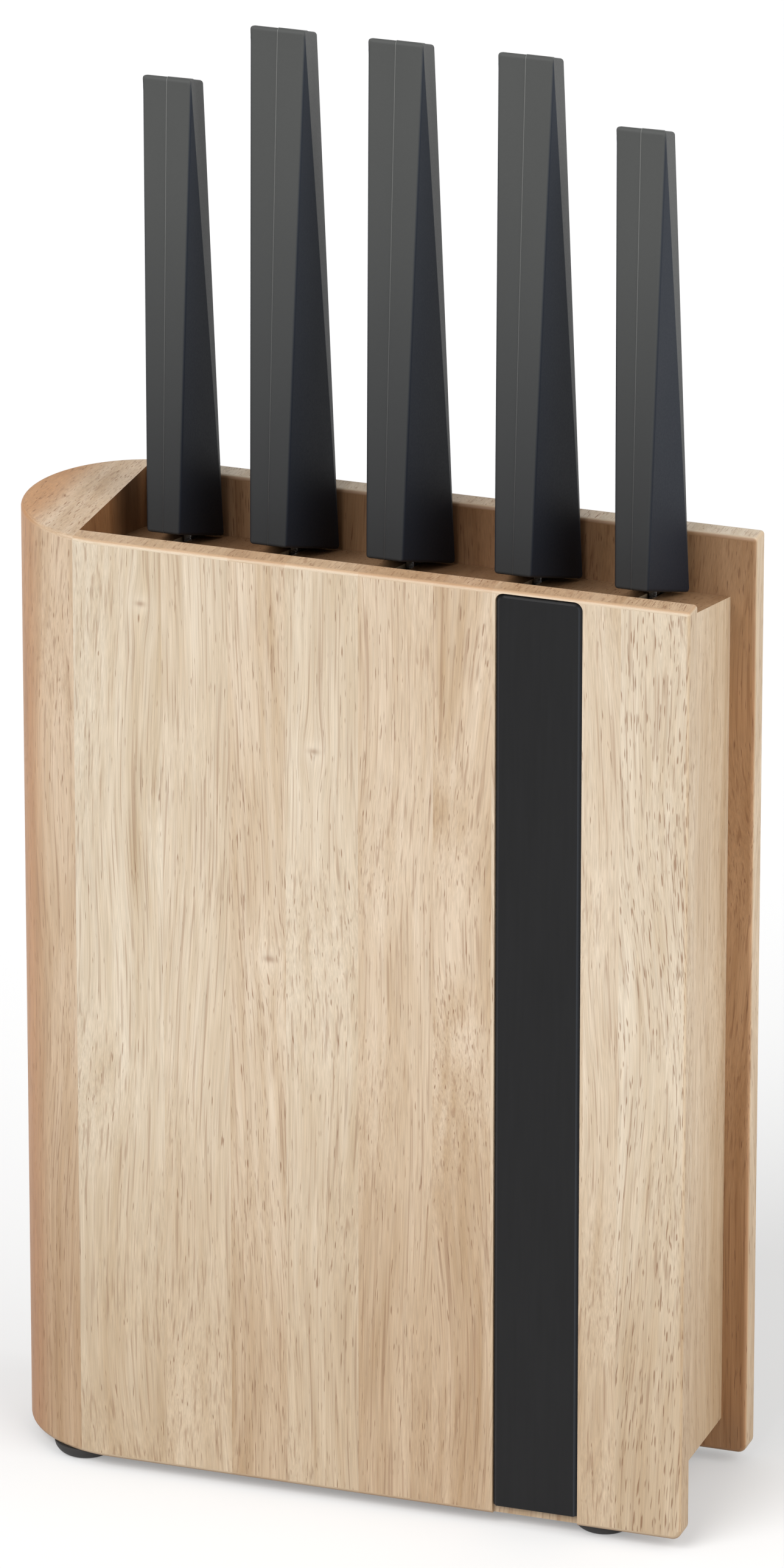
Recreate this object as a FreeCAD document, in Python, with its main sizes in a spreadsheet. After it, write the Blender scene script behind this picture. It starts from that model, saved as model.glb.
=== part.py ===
"""Knife block with five knives.

A book-shaped block of edge-glued rubberwood staves stands on four rubber feet.  A D-shaped end
block closes its left end, and the right end is open, like the fore-edge of a book.  Inside, a
core of upright boards leaves one slot for each blade.  The core stops below the rim, so that the
handles stand in a shallow well whose floor slopes down to the back.

Frame: +X from the rounded end to the open end, +Y from the front panel to the back panel, +Z up.
The origin is the middle of the footprint, on the surface that the block stands on.  Sizes are in
millimetres.  Places are worked out from the left end, the front face and the standing surface.
"""
import FreeCAD, Part
import math
import os
import Sketcher

os.makedirs("parts", exist_ok=True)
doc = FreeCAD.newDocument("KnifeBlock")

# ---- driving dimensions -----------------------------------------------------------------------
SIZES = {
    # the block's outside
    "BlockDepth": 60.0,         # front face to back face
    "BlockHeight": 242.0,       # lower edge of the panels to the rim
    "PanelThickness": 6.8,
    "EndBlockLength": 22.0,     # rounded end to the end block's flat inner face
    "OpenEndRecess": 6.5,       # the core's end face stands back from the panels' ends
    "EdgeEase": 1.0,            # sanded radius on the wood's outer edges
    "LowerCorner": 2.4,         # radius of the panels' lower corners at the open end
    # the core and its slots
    "FloorDropFront": 6.2,      # rim down to the well's floor, at the front panel
    "FloorAngle": 11.5,         # the floor's slope down to the back, degrees
    "CoreLift": 9.0,            # panels' lower edge up to the core
    "SlotClearance": 0.6,       # blade to the core boards and the spacers, all round
    "BottomBoardSetback": 7.7,  # core's end face to the bottom board's end
    # the inlaid strip
    "StripWidth": 21.6,
    "StripThickness": 1.3,
    "StripBevel": 0.9,
    "StripCorner": 2.0,
    "StripTopGap": 0.9,         # rim down to the strip
    "StripBottomGap": 2.4,      # panel's lower edge up to the strip
    "StripClearance": 0.15,     # strip to the groove's sides and top
    "TapeThickness": 0.3,
    "TapeMargin": 1.6,          # strip's edge to the tape's edge
    # the feet
    "FootDiameter": 16.0,
    "FootHeight": 3.2,
    "FootFaceDiameter": 12.0,   # the flat that touches the surface
    "FootSideRadius": 3.7,      # bulge of the side, seen from the side
    "FootInsetY": 10.0,         # front or back face to a foot's axis
    "FootLeftX": 20.0,          # rounded end to the left feet's axes
    "FootRightX": 155.5,        # rounded end to the right feet's axes
    # blades and tangs
    "BladeThickness": 2.0,
    "EdgeThickness": 0.4,
    "SpineFlat": 4.0,           # width beside the spine that keeps the full thickness
    "SpineInset": 4.7,          # back panel's inner face to the spines
    "TangWidth": 5.0,
    "TangClearance": 0.05,
    "ShoulderDrop": 2.5,        # well's floor down to a blade's shoulder
    "TipNib": 1.5,              # blunt end of the blades' tips
    "LeastSpacer": 3.0,         # front spacer behind the widest blade
    "TipClearance": 21.0,       # bottom board up to the long blades' tips
    "BreadWidth": 31.0,
    "CarvingWidth": 27.0,
    "UtilityWidth": 21.0,
    "ParingWidth": 19.0,
    "UtilityLength": 125.0,
    "ParingLength": 90.0,
    "CookBelly": 125.0,         # length of the curved part of each edge, up from the tip
    "CarvingBelly": 60.0,
    "BreadBelly": 22.0,
    "UtilityBelly": 55.0,
    "ParingBelly": 40.0,
    "ScallopPitch": 6.5,
    "ScallopRadius": 5.0,
    "ScallopDepth": 1.1,
    # handles
    "HandleEndAngle": 19.2,     # slope of a handle's blade end and butt, down to the back, degrees
    "RestGap": 0.4,             # handle's lowest corner above the well's floor
    "HandleEdge": 0.9,          # rounding of the handle's edges
    "LargeLength": 128.5,
    "LargeDepthBlade": 26.5,    # front facet to back face, at the blade end
    "LargeDepthButt": 21.7,
    "LargeFrontBlade": 9.3,     # width of the front facet at the blade end
    "LargeFrontButt": 13.8,
    "LargeBackBlade": 18.1,     # width of the back face at the blade end
    "LargeBackButt": 4.7,
    "LargeLean": 8.4,           # the butt stands back from the blade end by this much
    "LargeBackGap": 2.4,        # back panel to the handle's back
    "LargeTang": 95.0,
    "SmallLength": 114.6,
    "SmallDepthBlade": 23.5,
    "SmallDepthButt": 18.8,
    "SmallFrontBlade": 8.4,
    "SmallFrontButt": 12.3,
    "SmallBackBlade": 14.4,
    "SmallBackButt": 5.0,
    "SmallLean": 4.9,
    "SmallBackGap": 3.4,
    "SmallTang": 80.0,
}
# widths of the core boards, and of the staves of each panel from the end block on; the last stave
# of a panel takes what is left
CORE_BOARDS = [12.4, 24.4, 26.5, 29.3, 26.0, 14.9]
FRONT_STAVES = [23.0, 17.0, 14.5, 18.5, 19.0, 14.8, 23.4, 8.8]
BACK_STAVES = [19.0, 19.0, 20.0, 19.0, 19.0, 20.0, 20.0]
INLAY_STAVE = 7

for number, width in enumerate(CORE_BOARDS, 1):
    SIZES[f"CoreBoard{number}"] = width
for number, width in enumerate(FRONT_STAVES, 1):
    SIZES[f"FrontStave{number}"] = width
for number, width in enumerate(BACK_STAVES, 1):
    SIZES[f"BackStave{number}"] = width

# knives from the rounded end to the open end: name, and the size of its handle
KNIVES = [("utility", "Small"), ("cook", "Large"), ("carving", "Large"), ("bread", "Large"),
          ("paring", "Small")]

sheet = doc.addObject("Spreadsheet::Sheet", "Dims")
for row, (alias, size) in enumerate(SIZES.items(), 1):
    sheet.set(f"A{row}", alias)
    sheet.set(f"B{row}", str(size))
    sheet.setAlias(f"B{row}", alias)
doc.recompute()

# ---- places that several pieces share, as expressions -------------------------------------------
SLOT_WIDTH = "(Dims.BladeThickness + 2 * Dims.SlotClearance)"
CORE_LENGTH = " + ".join(f"Dims.CoreBoard{n}" for n in range(1, len(CORE_BOARDS) + 1))
CORE_END = f"(Dims.EndBlockLength + {CORE_LENGTH} + {len(KNIVES)} * {SLOT_WIDTH})"
BLOCK_LENGTH = f"({CORE_END} + Dims.OpenEndRecess)"
BASE = "Dims.FootHeight"
RIM = "(Dims.FootHeight + Dims.BlockHeight)"
CORE_BASE = "(Dims.FootHeight + Dims.CoreLift)"
WELL_FRONT = "Dims.PanelThickness"
WELL_BACK = "(Dims.BlockDepth - Dims.PanelThickness)"
END_RADIUS = "(Dims.BlockDepth / 2)"
SPINE = f"({WELL_BACK} - Dims.SpineInset)"
TANG_FRONT = f"({SPINE} - Dims.TangWidth)"
GROOVE_DEPTH = "Dims.StripThickness + Dims.TapeThickness"
END_SLOPE = "tan(Dims.HandleEndAngle * 1 deg)"
OVERCUT = "1"       # a cutting outline reaches this far outside what it cuts


def floor_height(y):
    """Height of the well's floor at the depth y."""
    return f"({RIM} - Dims.FloorDropFront - tan(Dims.FloorAngle * 1 deg) * ({y} - {WELL_FRONT}))"


def measure(expression):
    """The number that an expression gives with the sheet's present values."""
    result = sheet.evalExpression(str(expression))
    return float(getattr(result, "Value", result))


# ---- helpers ------------------------------------------------------------------------------------
def place(piece, x="0", y="0", z="0"):
    """Bind a piece's place, given from the left end, the front face and the standing surface."""
    piece.setExpression("Placement.Base.x", f"{x} - {BLOCK_LENGTH} / 2")
    piece.setExpression("Placement.Base.y", f"{y} - Dims.BlockDepth / 2")
    piece.setExpression("Placement.Base.z", z)


def new_body(label):
    body = doc.addObject("PartDesign::Body", label)
    body.Label = label
    return body


def new_sketch(body, plane, name):
    sketch = body.newObject("Sketcher::SketchObject", f"{body.Name}_{name}")
    origin_plane = [f for f in body.Origin.OriginFeatures if f.Role == plane][0]
    sketch.AttachmentSupport = [(origin_plane, "")]
    sketch.MapMode = "FlatFace"
    return sketch


def add_outline(sketch, corners, arcs=None):
    """Add a closed outline.  Each corner is a pair of expressions; arcs maps the number of an
    edge to its radius and the side (+1 left, -1 right) that its centre lies on."""
    arcs = arcs or {}
    first = sketch.GeometryCount
    points = [FreeCAD.Vector(measure(x), measure(y), 0) for x, y in corners]
    count = len(points)
    starts = []
    for i, start in enumerate(points):
        end = points[(i + 1) % count]
        if i not in arcs:
            sketch.addGeometry(Part.LineSegment(start, end), False)
            starts.append((1, 2))
            continue
        radius, side = measure(arcs[i][0]), arcs[i][1]
        along = end - start
        across = FreeCAD.Vector(-along.y, along.x, 0).normalize() * side
        height = math.sqrt(radius ** 2 - (along.Length / 2) ** 2)
        centre = start + along * 0.5 + across * height
        middle = centre + (start + along * 0.5 - centre).normalize() * radius
        sketch.addGeometry(Part.Arc(start, middle, end), False)
        starts.append((1, 2) if side > 0 else (2, 1))
    for i, (x, y) in enumerate(corners):
        edge, after = first + i, first + (i + 1) % count
        begin = starts[i][0]
        sketch.addConstraint(Sketcher.Constraint(
            "Coincident", edge, starts[i][1], after, starts[(i + 1) % count][0]))
        for kind, expression in (("DistanceX", x), ("DistanceY", y)):
            number = sketch.addConstraint(Sketcher.Constraint(
                kind, -1, 1, edge, begin, measure(expression)))
            name = f"{kind[-1].lower()}_{edge}"
            sketch.renameConstraint(number, name)
            sketch.setExpression(f"Constraints.{name}", str(expression))
        if i in arcs:
            number = sketch.addConstraint(Sketcher.Constraint("Radius", edge, measure(arcs[i][0])))
            sketch.renameConstraint(number, f"radius_{edge}")
            sketch.setExpression(f"Constraints.radius_{edge}", arcs[i][0])


def add_feature(body, kind, sketch, name, length=None, symmetric=False, reverse=False):
    """Add a sketch-based feature, and refuse one that leaves the solid's volume as it was."""
    before = body.Shape.Volume if body.Tip else 0.0
    feature = body.newObject(f"PartDesign::{kind}", f"{body.Name}_{name}")
    feature.Profile = sketch
    if length is not None:
        feature.setExpression("Length", length)
    if symmetric:
        feature.SideType = "Symmetric"
    feature.Reversed = reverse
    body.Tip = feature
    doc.recompute()
    if abs(body.Shape.Volume - before) < 1e-6:
        raise RuntimeError(f"{feature.Name} changes nothing")
    return feature


def ease_edges(body, wanted, name="ease", radius="Dims.EdgeEase"):
    """Round the edges of the last feature that a test on each edge's box picks out."""
    dress(body, "PartDesign::Fillet", name, "Radius", radius, wanted)


def dress(body, kind, name, property_name, expression, wanted):
    """Put a fillet or a chamfer on the edges whose boxes pass a test."""
    before = body.Tip
    edges = [f"Edge{i}" for i, edge in enumerate(before.Shape.Edges, 1) if wanted(edge.BoundBox)]
    feature = body.newObject(kind, f"{body.Name}_{name}")
    feature.Base = (before, edges)
    feature.setExpression(property_name, expression)
    body.Tip = feature
    doc.recompute()


def new_box(label, x, y, z, length, width, height):
    """A rectangular piece, placed as place() does."""
    box = doc.addObject("Part::Box", label)
    box.Label = label
    box.setExpression("Length", length)
    box.setExpression("Width", width)
    box.setExpression("Height", height)
    place(box, x, y, z)
    return box


# ---- panels -------------------------------------------------------------------------------------
def runs_along_panel(box):
    """An upper or lower edge of a panel, but not one that lies in a glue joint."""
    return box.ZLength < 1e-3 and box.XLength > 1e-3


def rounds_corner(box):
    """The arc of a rounded corner, on a panel's outer or inner face."""
    return box.YLength < 1e-3 and box.XLength > 1e-3 and box.ZLength > 1e-3


def make_end_block():
    """The D-shaped end: a slice of a round post as thick as the block is deep."""
    body = new_body("end_block")
    half_chord = f"sqrt({END_RADIUS}^2 - ({END_RADIUS} - Dims.EndBlockLength)^2)"
    front = f"{END_RADIUS} - {half_chord}"
    back = f"{END_RADIUS} + {half_chord}"
    sketch = new_sketch(body, "XY_Plane", "profile")
    add_outline(
        sketch,
        [("Dims.EndBlockLength", front), ("Dims.EndBlockLength", back), ("0", END_RADIUS)],
        {1: (END_RADIUS, 1), 2: (END_RADIUS, 1)})
    add_feature(body, "Pad", sketch, "pad", "Dims.BlockHeight")
    ease_edges(body, runs_along_panel)
    place(body, z=BASE)
    return body


def stave_start(side, number):
    earlier = "".join(f" + Dims.{side}Stave{n}" for n in range(1, number))
    return f"(Dims.EndBlockLength{earlier})"


def make_stave(side, number, count):
    """One stave of the front or the back panel.  The first one carries the last of the rounded
    end, and the last one ends the panel at the block's open end."""
    body = new_body(f"{side.lower()}_stave_{number}")
    start = stave_start(side, number)
    end = stave_start(side, number + 1) if number < count else BLOCK_LENGTH
    outer, inner = ("0", WELL_FRONT) if side == "Front" else ("Dims.BlockDepth", WELL_BACK)
    sketch = new_sketch(body, "XY_Plane", "profile")
    if number == 1:
        half_chord = f"sqrt({END_RADIUS}^2 - ({END_RADIUS} - {start})^2)"
        sign, turn = ("-", 1) if side == "Front" else ("+", -1)
        shoulder = f"({END_RADIUS} {sign} {half_chord})"
        corners = [(start, inner), (start, shoulder), (END_RADIUS, outer), (end, outer),
                   (end, inner)]
        add_outline(sketch, corners, {1: (END_RADIUS, turn)})
    else:
        add_outline(sketch, [(start, outer), (end, outer), (end, inner), (start, inner)])
    add_feature(body, "Pad", sketch, "pad", "Dims.BlockHeight")
    open_end = measure(BLOCK_LENGTH) - 1e-3

    def lower_corner(box):
        return box.XMin > open_end and box.ZMax < 1e-3

    def eased(box):
        return runs_along_panel(box) or box.XMin > open_end or rounds_corner(box)

    if number == count:
        ease_edges(body, lower_corner, "corner", "Dims.LowerCorner")
    ease_edges(body, eased)
    place(body, z=BASE)
    return body


def strip_start():
    middle = f"{stave_start('Front', INLAY_STAVE)} + Dims.FrontStave{INLAY_STAVE} / 2"
    return f"({middle} - Dims.StripWidth / 2)"


def rounded_top(x0, x1, z0, z1, corner):
    """Corners and arcs of an upright strip whose upper corners are rounded."""
    corners = [(x0, z0), (x1, z0), (x1, f"{z1} - {corner}"), (f"{x1} - {corner}", z1),
               (f"{x0} + {corner}", z1), (x0, f"{z1} - {corner}")]
    return corners, {2: (corner, 1), 4: (corner, 1)}


def cut_groove(body):
    """The strip's groove: closed near the rim, and run out at the panel's lower edge."""
    sketch = new_sketch(body, "XZ_Plane", "groove")
    x0 = f"({strip_start()} - Dims.StripClearance)"
    x1 = f"({strip_start()} + Dims.StripWidth + Dims.StripClearance)"
    top = "(Dims.BlockHeight - Dims.StripTopGap + Dims.StripClearance)"
    corner = "(Dims.StripCorner + Dims.StripClearance)"
    # a sketch on the XZ plane keeps X and Z as its own axes
    add_outline(sketch, *rounded_top(x0, x1, "0", top, corner))
    before = body.Shape.Volume
    groove = add_feature(body, "Pocket", sketch, "cut", GROOVE_DEPTH)
    if body.Shape.Volume >= before:
        raise RuntimeError(f"{groove.Name} adds wood")


def make_strip():
    """The dark strip, with bevelled long edges and rounded upper corners."""
    body = new_body("inlay_strip")
    sketch = new_sketch(body, "XZ_Plane", "profile")
    height = "(Dims.BlockHeight - Dims.StripTopGap - Dims.StripBottomGap)"
    add_outline(sketch, *rounded_top("0", "Dims.StripWidth", "0", height, "Dims.StripCorner"))
    add_feature(body, "Pad", sketch, "pad", "Dims.StripThickness")
    face = body.Tip.Shape.BoundBox.YMin

    def bevelled(box):
        return box.YMax < face + 1e-3 and box.ZLength > 1e-3

    dress(body, "PartDesign::Chamfer", "bevel", "Size", "Dims.StripBevel", bevelled)
    # the pad grows forwards from the plane that its back lies in
    place(body, strip_start(), "Dims.StripThickness",
          f"{BASE} + Dims.StripBottomGap")
    return body


def make_tape():
    return new_box(
        "strip_tape", f"{strip_start()} + Dims.TapeMargin",
        "Dims.StripThickness",
        f"{BASE} + Dims.StripBottomGap + Dims.TapeMargin",
        "Dims.StripWidth - 2 * Dims.TapeMargin", "Dims.TapeThickness",
        "Dims.BlockHeight - Dims.StripTopGap - Dims.StripBottomGap - 2 * Dims.TapeMargin"
        " - Dims.StripCorner")


# ---- core ---------------------------------------------------------------------------------------
def make_core_piece(label, x, width, front, back):
    """An upright piece of the core: its top follows the well's sloping floor."""
    body = new_body(label)
    sketch = new_sketch(body, "YZ_Plane", "profile")
    add_outline(sketch, [(front, CORE_BASE), (back, CORE_BASE), (back, floor_height(back)),
                         (front, floor_height(front))])
    add_feature(body, "Pad", sketch, "pad", width)
    place(body, x)
    return body


def slot_start(number):
    """Left side of the slot with this number, counted from the rounded end."""
    boards = " + ".join(f"Dims.CoreBoard{n}" for n in range(1, number + 1))
    return f"(Dims.EndBlockLength + {boards} + {number - 1} * {SLOT_WIDTH})"


def knife_middle(number):
    return f"({slot_start(number)} + {SLOT_WIDTH} / 2)"


def blade_width(name):
    if name == "cook":
        return f"({SPINE} - {WELL_FRONT} - Dims.LeastSpacer - Dims.SlotClearance)"
    return f"Dims.{name.capitalize()}Width"


def edge_line(name):
    """Depth at which the straight part of a blade's edge lies."""
    return f"({SPINE} - {blade_width(name)})"


def make_core():
    pieces = []
    for number in range(1, len(CORE_BOARDS) + 1):
        start = f"{slot_start(number - 1)} + {SLOT_WIDTH}" if number > 1 else "Dims.EndBlockLength"
        pieces.append(make_core_piece(f"core_board_{number}", start, f"Dims.CoreBoard{number}",
                                      WELL_FRONT, WELL_BACK))
    for number, (name, _) in enumerate(KNIVES, 1):
        slot_front = f"({edge_line(name)} - Dims.SlotClearance)"
        slot_back = f"({SPINE} + Dims.SlotClearance)"
        pieces.append(make_core_piece(f"front_spacer_{number}", slot_start(number),
                                      SLOT_WIDTH, WELL_FRONT, slot_front))
        pieces.append(make_core_piece(f"back_spacer_{number}", slot_start(number),
                                      SLOT_WIDTH, slot_back, WELL_BACK))
    return pieces


def make_bottom_board():
    return new_box("bottom_board", "Dims.EndBlockLength", WELL_FRONT, BASE,
                   f"{CORE_END} - Dims.BottomBoardSetback - Dims.EndBlockLength",
                   f"{WELL_BACK} - {WELL_FRONT}", "Dims.CoreLift")


# ---- feet ---------------------------------------------------------------------------------------
def make_foot(label, x, y):
    """A low rubber foot: flat where it stands, with a bulging side."""
    body = new_body(label)
    sketch = new_sketch(body, "XZ_Plane", "profile")
    add_outline(sketch,
                [("0", "0"), ("Dims.FootFaceDiameter / 2", "0"),
                 ("Dims.FootDiameter / 2", "Dims.FootHeight"), ("0", "Dims.FootHeight")],
                {1: ("Dims.FootSideRadius", 1)})
    foot = body.newObject("PartDesign::Revolution", f"{label}_turn")
    foot.Profile = sketch
    foot.ReferenceAxis = (sketch, ["V_Axis"])
    foot.Angle = 360.0
    doc.recompute()
    place(body, x, y)
    return body


def make_feet():
    back = "Dims.BlockDepth - Dims.FootInsetY"
    return [make_foot("foot_front_left", "Dims.FootLeftX", "Dims.FootInsetY"),
            make_foot("foot_front_right", "Dims.FootRightX", "Dims.FootInsetY"),
            make_foot("foot_back_left", "Dims.FootLeftX", back),
            make_foot("foot_back_right", "Dims.FootRightX", back)]


# ---- knives -------------------------------------------------------------------------------------
def handle_back(size):
    """Depth at which the back of a handle's blade end stands."""
    return f"({WELL_BACK} - Dims.{size}BackGap)"


def handle_front(size):
    return f"({handle_back(size)} - Dims.{size}DepthBlade)"


def handle_base(size):
    """Height of the front facet's lower edge: the sloping end rests on its back corner."""
    rest = f"{floor_height(handle_back(size))} + Dims.RestGap"
    return f"({rest} + {END_SLOPE} * Dims.{size}DepthBlade)"


def tip_height(name):
    if name in ("utility", "paring"):
        heel = f"{floor_height(edge_line(name))} - Dims.ShoulderDrop"
        return f"({heel} - Dims.{name.capitalize()}Length)"
    return f"({CORE_BASE} + Dims.TipClearance)"


def make_blade(number, name, size):
    """A blade and its tang, cut from one sheet, with a taper ground from near the spine."""
    body = new_body(f"{name}_knife_blade")
    edge, tip = edge_line(name), tip_height(name)
    belly = f"Dims.{name.capitalize()}Belly"
    rise = f"({blade_width(name)} - Dims.TipNib)"
    tang_top = f"{handle_base(size)} + Dims.{size}Tang"
    heel = f"{floor_height(edge)} - Dims.ShoulderDrop"
    sketch = new_sketch(body, "YZ_Plane", "profile")
    add_outline(
        sketch,
        [(TANG_FRONT, tang_top), (TANG_FRONT, f"{floor_height(TANG_FRONT)} - Dims.ShoulderDrop"),
         (edge, heel), (edge, f"{tip} + {belly}"), (f"{SPINE} - Dims.TipNib", tip),
         (SPINE, f"{tip} + Dims.TipNib"), (SPINE, tang_top)],
        {3: (f"({belly}^2 + {rise}^2) / (2 * {rise})", 1)})
    add_feature(body, "Pad", sketch, "pad", "Dims.BladeThickness", symmetric=True)

    grind = new_sketch(body, "XY_Plane", "grind")
    outside = "(Dims.BladeThickness)"
    for sign in ("", "-"):
        add_outline(grind, [(f"{sign}{outside}", f"{edge} - {OVERCUT}"),
                            (f"{sign}{outside}", f"{SPINE} - Dims.SpineFlat"),
                            (f"{sign}(Dims.BladeThickness / 2)", f"{SPINE} - Dims.SpineFlat"),
                            (f"{sign}(Dims.EdgeThickness / 2)", edge),
                            (f"{sign}(Dims.EdgeThickness / 2)", f"{edge} - {OVERCUT}")])
    add_feature(body, "Pocket", grind, "taper", heel, reverse=True)

    if name == "bread":
        cut_scallops(body, edge, heel, f"{tip} + {belly}")
    place(body, knife_middle(number))
    return body


def cut_scallops(body, edge, heel, foot):
    """Scallops along the straight part of the bread knife's edge."""
    sketch = new_sketch(body, "YZ_Plane", "scallop")
    sunk = "(Dims.ScallopRadius - Dims.ScallopDepth)"
    half = f"sqrt(Dims.ScallopRadius^2 - {sunk}^2)"
    middle = f"({foot} + Dims.ScallopPitch)"
    add_outline(sketch,
                [(edge, f"{middle} - {half}"), (edge, f"{middle} + {half}"),
                 (f"{edge} - {OVERCUT}", f"{middle} + {half}"),
                 (f"{edge} - {OVERCUT}", f"{middle} - {half}")],
                {0: ("Dims.ScallopRadius", 1)})
    scallop = add_feature(body, "Pocket", sketch, "notch", "3 * Dims.BladeThickness",
                          symmetric=True)
    span = measure(f"{heel} - ({foot}) - 2 * Dims.ScallopPitch")
    pattern = body.newObject("PartDesign::LinearPattern", "bread_scallops")
    pattern.Originals = [scallop]
    pattern.Direction = (sketch, ["V_Axis"])
    pattern.Occurrences = int(span / measure("Dims.ScallopPitch")) + 1
    pattern.Length = (pattern.Occurrences - 1) * measure("Dims.ScallopPitch")
    body.Tip = pattern
    doc.recompute()


def faceted_handle(size):
    """The moulded handle: straight-sided, with each flank folded along a crease that runs from
    the front facet's butt end to the back's blade end.  Its origin is the middle of the front
    facet's lower edge."""
    slope = measure(END_SLOPE)

    def given(part):
        return sheet.get(f"{size}{part}")

    def pair(width, y, z):
        return [FreeCAD.Vector(side * width / 2, y, z) for side in (-1, 1)]

    depth, top = given("DepthBlade"), given("Length")
    butt_front, butt_back = given("Lean"), given("Lean") + given("DepthButt")
    front_low = pair(given("FrontBlade"), 0, 0)
    back_low = pair(given("BackBlade"), depth, -slope * depth)
    front_high = pair(given("FrontButt"), butt_front, top)
    back_high = pair(given("BackButt"), butt_back, top - slope * given("DepthButt"))
    loops = [
        [front_low[0], front_low[1], front_high[1], front_high[0]],
        [back_low[1], back_low[0], back_high[0], back_high[1]],
        [front_low[0], back_low[0], back_low[1], front_low[1]],
        [front_high[0], front_high[1], back_high[1], back_high[0]],
    ]
    for side in (0, 1):
        loops.append([front_low[side], back_low[side], front_high[side]])
        loops.append([front_high[side], back_low[side], back_high[side]])
    faces = [Part.Face(Part.makePolygon(loop + loop[:1])) for loop in loops]
    solid = Part.makeSolid(Part.makeShell(faces))
    if solid.Volume < 0:
        solid.reverse()
    return solid.makeFillet(sheet.get("HandleEdge"), solid.Edges)


def make_handle(number, name, size):
    """A handle with the pocket that its tang is moulded into."""
    label = f"{name}_knife_handle"
    outside = doc.addObject("Part::Feature", f"{name}_handle_outside")
    outside.Shape = faceted_handle(size)
    pocket = doc.addObject("Part::Box", f"{name}_tang_pocket")
    pocket.setExpression("Length", "Dims.BladeThickness + 2 * Dims.TangClearance")
    pocket.setExpression("Width", "Dims.TangWidth + 2 * Dims.TangClearance")
    pocket.setExpression("Height", f"2 * Dims.{size}DepthBlade + Dims.{size}Tang"
                                   " + Dims.TangClearance")
    pocket.setExpression("Placement.Base.x", "-Dims.BladeThickness / 2 - Dims.TangClearance")
    pocket.setExpression("Placement.Base.y",
                         f"{TANG_FRONT} - Dims.TangClearance - {handle_front(size)}")
    pocket.setExpression("Placement.Base.z", f"-2 * Dims.{size}DepthBlade")
    handle = doc.addObject("Part::Cut", label)
    handle.Label = label
    handle.Base = outside
    handle.Tool = pocket
    place(handle, knife_middle(number), handle_front(size), handle_base(size))
    doc.recompute()
    return handle


# ---- the whole object ---------------------------------------------------------------------------
def make_all():
    pieces = [make_end_block()]
    for side, widths in (("Front", FRONT_STAVES), ("Back", BACK_STAVES)):
        count = len(widths) + 1
        for number in range(1, count + 1):
            stave = make_stave(side, number, count)
            if side == "Front" and number == INLAY_STAVE:
                cut_groove(stave)
            pieces.append(stave)
    pieces += make_core()
    pieces += [make_bottom_board(), make_strip(), make_tape()]
    pieces += make_feet()
    for number, (name, size) in enumerate(KNIVES, 1):
        pieces.append(make_blade(number, name, size))
        pieces.append(make_handle(number, name, size))
    return pieces


def write_parts(pieces):
    doc.recompute()
    for thing in doc.Objects:
        if "Invalid" in thing.State or "Error" in thing.State:
            raise RuntimeError(f"{thing.Name} failed: {thing.State}")
    for piece in pieces:
        shape = piece.Shape
        if shape.isNull() or not shape.isValid() or not shape.Solids or shape.Volume <= 0:
            raise RuntimeError(f"{piece.Label} has no sound solid")
        shape.exportStep(f"parts/{piece.Label}.step")
    print(len(pieces), "pieces written")


write_parts(make_all())
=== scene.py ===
"""Finish, fine details and stage of a wooden knife block with five knives, around its CAD frame."""
import itertools
import math
import random

import bmesh
import bpy
from bpy.props import FloatProperty, FloatVectorProperty, IntProperty, PointerProperty
from bpy.types import Operator, Panel, PropertyGroup
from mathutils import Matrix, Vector
from mathutils.bvhtree import BVHTree


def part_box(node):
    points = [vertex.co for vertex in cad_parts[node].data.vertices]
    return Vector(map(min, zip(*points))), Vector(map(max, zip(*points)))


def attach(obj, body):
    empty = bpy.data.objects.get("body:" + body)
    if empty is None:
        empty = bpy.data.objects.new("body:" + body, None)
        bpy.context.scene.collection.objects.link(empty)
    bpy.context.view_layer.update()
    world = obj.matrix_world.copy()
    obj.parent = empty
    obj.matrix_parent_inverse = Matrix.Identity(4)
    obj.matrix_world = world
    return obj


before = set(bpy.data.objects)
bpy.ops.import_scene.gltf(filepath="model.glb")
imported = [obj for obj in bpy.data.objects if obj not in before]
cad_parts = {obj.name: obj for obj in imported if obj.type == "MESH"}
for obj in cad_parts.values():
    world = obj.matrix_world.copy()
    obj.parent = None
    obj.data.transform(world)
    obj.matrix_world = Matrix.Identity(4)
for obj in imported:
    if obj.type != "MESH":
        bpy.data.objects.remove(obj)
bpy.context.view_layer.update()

bl_info = {
    "name": "Knife Block Finish",
    "version": (1, 0, 0),
    "blender": (4, 5, 0),
    "location": "3D Viewport > Sidebar > Knife Block",
    "description": "Wood, steel, rubber and soft-touch finishes for a block with five knives",
    "category": "Object",
}

KNIVES = ["utility", "cook", "carving", "bread", "paring"]
MM = 0.001
WHITE = (1.0, 1.0, 1.0, 1.0)


def tint(red, green, blue):
    """A colour given as it looks on a screen, 0 to 255, turned into linear light."""
    shares = [value / 255 for value in (red, green, blue)]
    return tuple(s / 12.92 if s <= 0.04045 else ((s + 0.055) / 1.055) ** 2.4 for s in shares)


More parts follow.
